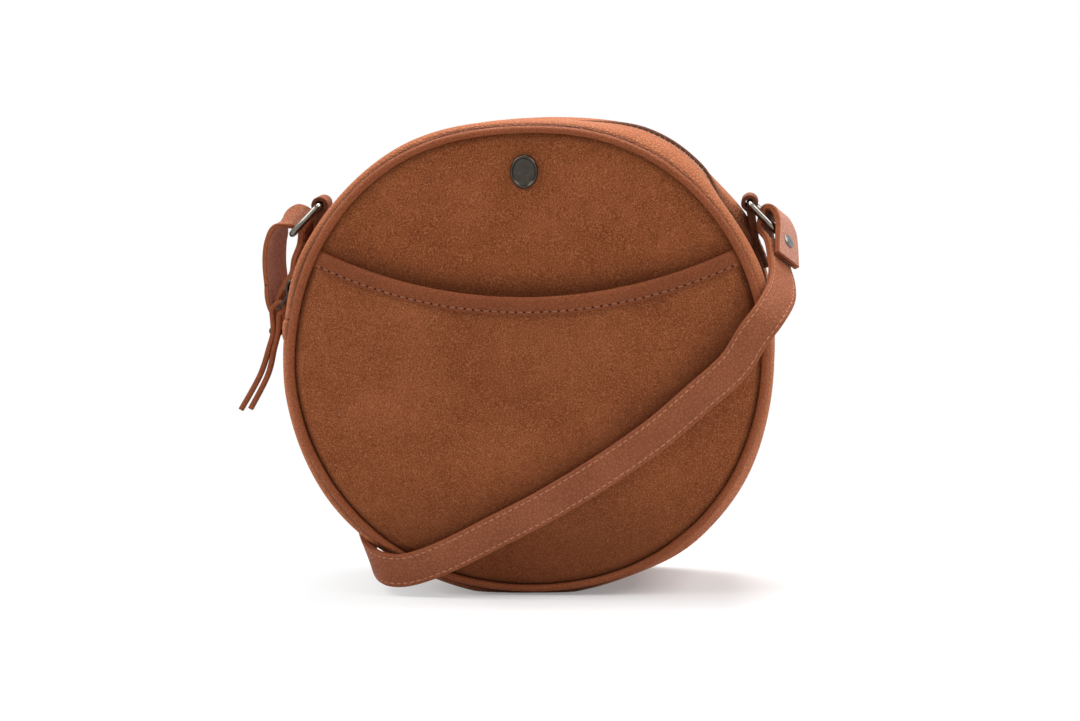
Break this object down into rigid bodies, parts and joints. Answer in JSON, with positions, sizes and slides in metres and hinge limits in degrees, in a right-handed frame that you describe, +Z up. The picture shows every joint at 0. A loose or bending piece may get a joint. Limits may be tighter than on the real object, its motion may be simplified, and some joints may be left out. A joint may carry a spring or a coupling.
{
  "type": "circle bag",
  "caption": "Round crossbody bag with a suede front, a curved slip pocket, piped seams, a leather gusset with a curved zip and a long shoulder strap on two metal rings.",
  "frame": {"origin": "on the floor under the middle of the bag, at the middle of its flat base", "axes": "+X to the bag's right seen from the front, +Y to the back, +Z up; the front with the pocket faces -Y"},
  "size_m": [0.2579, 0.1343, 0.2179],
  "materials": {
    "suede": "napped suede",
    "trim_leather": "pebbled, semi-matte",
    "gusset_leather": "pebbled, semi-matte",
    "strap_leather": "smooth, edge-stitched",
    "board": "bonded fibre stiffener",
    "lining": "plain woven lining",
    "filler_cord": "twisted filler",
    "zip_tape": "woven tape",
    "dark_metal": "dark gunmetal plating"
  },
  "bodies": {
    "bag": {"front_panel": "suede", "front_pocket": "suede", "back_panel": "suede", "front_board": "board", "back_board": "board", "front_lining": "lining", "back_lining": "lining", "gusset_front_lining": "lining", "gusset_back_lining": "lining", "gusset_base_lining": "lining", "pocket_binding": "trim_leather", "front_piping": "trim_leather", "back_piping": "trim_leather", "front_piping_cord": "filler_cord", "back_piping_cord": "filler_cord", "gusset_front_band": "gusset_leather", "gusset_back_band": "gusset_leather", "gusset_base": "gusset_leather", "left_ring_tab": "trim_leather", "right_ring_tab": "trim_leather", "zip_tape_front": "zip_tape", "zip_tape_back": "zip_tape", "zip_teeth_front": "dark_metal", "zip_teeth_back": "dark_metal", "zip_top_stop_front": "dark_metal", "zip_top_stop_back": "dark_metal", "zip_bottom_stop": "dark_metal", "shoulder_strap": "strap_leather", "badge": "dark_metal", "badge_washer": "dark_metal"},
    "zip_slider": {"zip_slider": "dark_metal"},
    "zip_puller": {"zip_puller": "dark_metal"},
    "pull_thong": {"pull_thong": "strap_leather", "thong_rivet": "dark_metal"},
    "left_ring": {"left_ring": "dark_metal", "left_strap_rivet": "dark_metal"},
    "right_ring": {"right_ring": "dark_metal", "right_strap_rivet": "dark_metal"}
  },
  "joints": [
    {"name": "zip_travel", "type": "hinge", "parent": "bag", "child": "zip_slider", "pos_m": [0, 0, 0.108], "axis": [0, 1, 0], "range_deg": [0, 129], "deforming": ["zip_teeth_front", "zip_teeth_back", "zip_tape_front", "zip_tape_back"]},
    {"name": "puller_swing", "type": "hinge", "parent": "zip_slider", "child": "zip_puller", "pos_m": [-0.11147, 0, 0.13487], "axis": [0, 1, 0], "range_deg": [-10, 100]},
    {"name": "thong_swing", "type": "hinge", "parent": "zip_puller", "child": "pull_thong", "pos_m": [-0.1169, 0, 0.12719], "axis": [0, 1, 0], "range_deg": [-10, 55]},
    {"name": "left_ring_swing", "type": "hinge", "parent": "bag", "child": "left_ring", "pos_m": [-0.09882, 0.0155, 0.17341], "axis": [0, 1, 0], "range_deg": [-8, 60], "deforming": ["shoulder_strap"]},
    {"name": "right_ring_swing", "type": "hinge", "parent": "bag", "child": "right_ring", "pos_m": [0.09882, 0.0155, 0.17341], "axis": [0, -1, 0], "range_deg": [-8, 60], "deforming": ["shoulder_strap"]}
  ]
}
